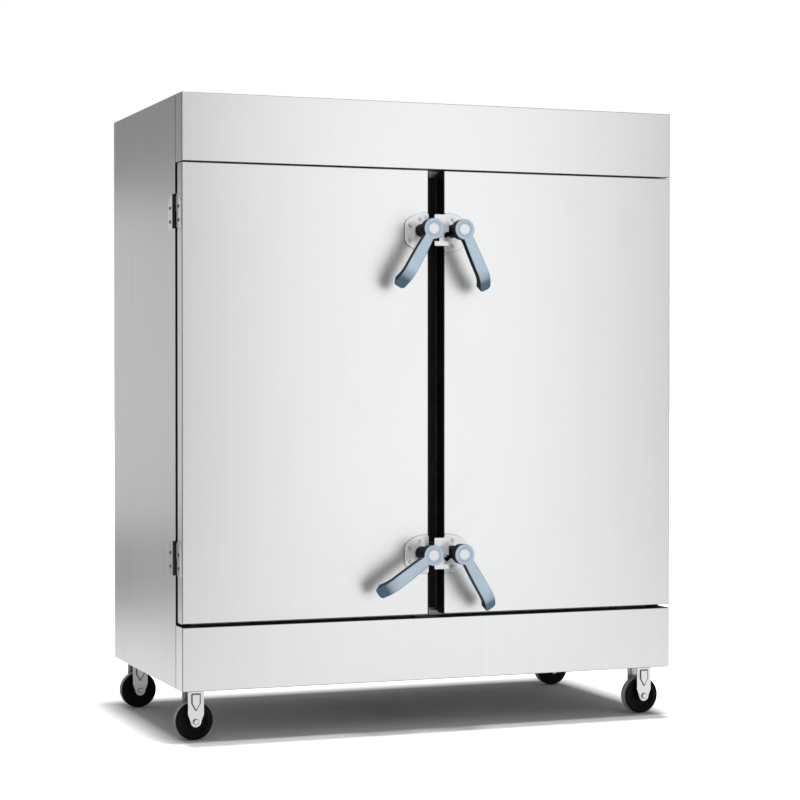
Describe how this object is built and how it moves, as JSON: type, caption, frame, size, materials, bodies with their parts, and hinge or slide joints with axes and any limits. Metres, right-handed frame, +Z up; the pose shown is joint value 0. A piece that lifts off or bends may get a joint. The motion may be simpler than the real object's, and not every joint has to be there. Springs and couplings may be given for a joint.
{
  "type": "commercial rice steamer",
  "caption": "Steel steam cabinet on rigid casters: hinged doors with lever latches close on racked tray chambers over electrically heated water tanks.",
  "frame": {"origin": "on the floor under the middle of the footprint, with the levers and rear fittings counted in", "axes": "+X to the right seen from the front, +Y to the back, +Z up"},
  "size_m": [1.401, 0.8972, 1.653],
  "materials": {
    "brushed_sheet": "brushed stainless sheet",
    "side_sheet": "brushed stainless sheet, grain upright",
    "inner_sheet": "plain stainless sheet",
    "frame_steel": "welded stainless tube",
    "chrome": "polished",
    "black_rubber": "matt silicone rubber",
    "mineral_wool": "loose wool",
    "lever_paint": "satin blue-grey",
    "black_hub": "satin black",
    "brass": "plain",
    "element_steel": "heat-tinted",
    "black_plastic": "moulded",
    "fork_steel": "zinc plated",
    "wheel_rubber": "moulded rubber"
  },
  "bodies": {
    "cabinet": {"back_panel": "side_sheet", "balance_pipes": "inner_sheet", "base_frame": "frame_steel", "bottom_fascia": "brushed_sheet", "cabinet_screws": "chrome", "cable_gland": "black_plastic", "caster_forks": "fork_steel", "caster_hardware": "fork_steel", "centre_post": "frame_steel", "chamber_liners": "inner_sheet", "drain_valve": "brass", "feed_box": "inner_sheet", "float_valve": "brass", "frame_rails": "frame_steel", "heating_elements": "element_steel", "hinge_frame_leaves": "chrome", "latch_keepers": "chrome", "left_side_panel": "side_sheet", "post_strip": "black_rubber", "right_side_panel": "side_sheet", "roof_panel": "brushed_sheet", "steam_plates": "inner_sheet", "steam_vents": "inner_sheet", "terminal_block": "black_plastic", "terminal_box": "inner_sheet", "terminal_cover": "inner_sheet", "top_fascia": "brushed_sheet", "tray_racks": "inner_sheet", "trays": "inner_sheet", "wall_insulation": "mineral_wool", "water_tanks": "inner_sheet"},
    "left_door": {"left_door_edge_strip": "black_rubber", "left_door_gasket": "black_rubber", "left_door_hinge_leaves": "chrome", "left_door_insulation": "mineral_wool", "left_door_liner": "inner_sheet", "left_door_skin": "brushed_sheet", "left_latch_plates": "chrome"},
    "right_door": {"right_door_edge_strip": "black_rubber", "right_door_gasket": "black_rubber", "right_door_hinge_leaves": "chrome", "right_door_insulation": "mineral_wool", "right_door_liner": "inner_sheet", "right_door_skin": "brushed_sheet", "right_latch_plates": "chrome"},
    "upper_left_handle": {"upper_left_hub": "black_hub", "upper_left_lever": "lever_paint"},
    "upper_right_handle": {"upper_right_hub": "black_hub", "upper_right_lever": "lever_paint"},
    "lower_left_handle": {"lower_left_hub": "black_hub", "lower_left_lever": "lever_paint"},
    "lower_right_handle": {"lower_right_hub": "black_hub", "lower_right_lever": "lever_paint"},
    "back_left_wheel_body": {"back_left_wheel": "wheel_rubber"},
    "back_right_wheel_body": {"back_right_wheel": "wheel_rubber"},
    "front_left_wheel_body": {"front_left_wheel": "wheel_rubber"},
    "front_right_wheel_body": {"front_right_wheel": "wheel_rubber"},
    "float": {"float_arm": "brass"},
    "drain_handle": {"drain_lever": "chrome"}
  },
  "joints": [
    {"name": "left_door_hinge", "type": "hinge", "parent": "cabinet", "child": "left_door", "pos_m": [-0.695, -0.2975, 0.88], "axis": [0, 0, -1], "range_deg": [0, 180]},
    {"name": "right_door_hinge", "type": "hinge", "parent": "cabinet", "child": "right_door", "pos_m": [0.695, -0.2975, 0.88], "axis": [0, 0, 1], "range_deg": [0, 180]},
    {"name": "upper_left_turn", "type": "hinge", "parent": "left_door", "child": "upper_left_handle", "pos_m": [-0.043, -0.3925, 1.317], "axis": [0, 1, 0], "range_deg": [-30, 90]},
    {"name": "upper_right_turn", "type": "hinge", "parent": "right_door", "child": "upper_right_handle", "pos_m": [0.043, -0.3925, 1.317], "axis": [0, -1, 0], "range_deg": [-25, 95]},
    {"name": "lower_left_turn", "type": "hinge", "parent": "left_door", "child": "lower_left_handle", "pos_m": [-0.043, -0.3925, 0.47], "axis": [0, 1, 0], "range_deg": [-55, 65]},
    {"name": "lower_right_turn", "type": "hinge", "parent": "right_door", "child": "lower_right_handle", "pos_m": [0.043, -0.3925, 0.47], "axis": [0, -1, 0], "range_deg": [-31, 89]},
    {"name": "back_left_wheel_spin", "type": "hinge", "parent": "cabinet", "child": "back_left_wheel_body", "pos_m": [-0.64, 0.3195, 0.05], "axis": [0, 1, 0], "continuous": true},
    {"name": "back_right_wheel_spin", "type": "hinge", "parent": "cabinet", "child": "back_right_wheel_body", "pos_m": [0.64, 0.3195, 0.05], "axis": [0, 1, 0], "continuous": true},
    {"name": "front_left_wheel_spin", "type": "hinge", "parent": "cabinet", "child": "front_left_wheel_body", "pos_m": [-0.64, -0.2695, 0.05], "axis": [0, 1, 0], "continuous": true},
    {"name": "front_right_wheel_spin", "type": "hinge", "parent": "cabinet", "child": "front_right_wheel_body", "pos_m": [0.64, -0.2695, 0.05], "axis": [0, 1, 0], "continuous": true},
    {"name": "float_swing", "type": "hinge", "parent": "cabinet", "child": "float", "pos_m": [0, 0.2985, 0.265], "axis": [-1, 0, 0], "range_deg": [0, 20]},
    {"name": "drain_turn", "type": "hinge", "parent": "cabinet", "child": "drain_handle", "pos_m": [-0.245, 0.4175, 0.197], "axis": [0, 0, 1], "range_deg": [0, 90]}
  ]
}
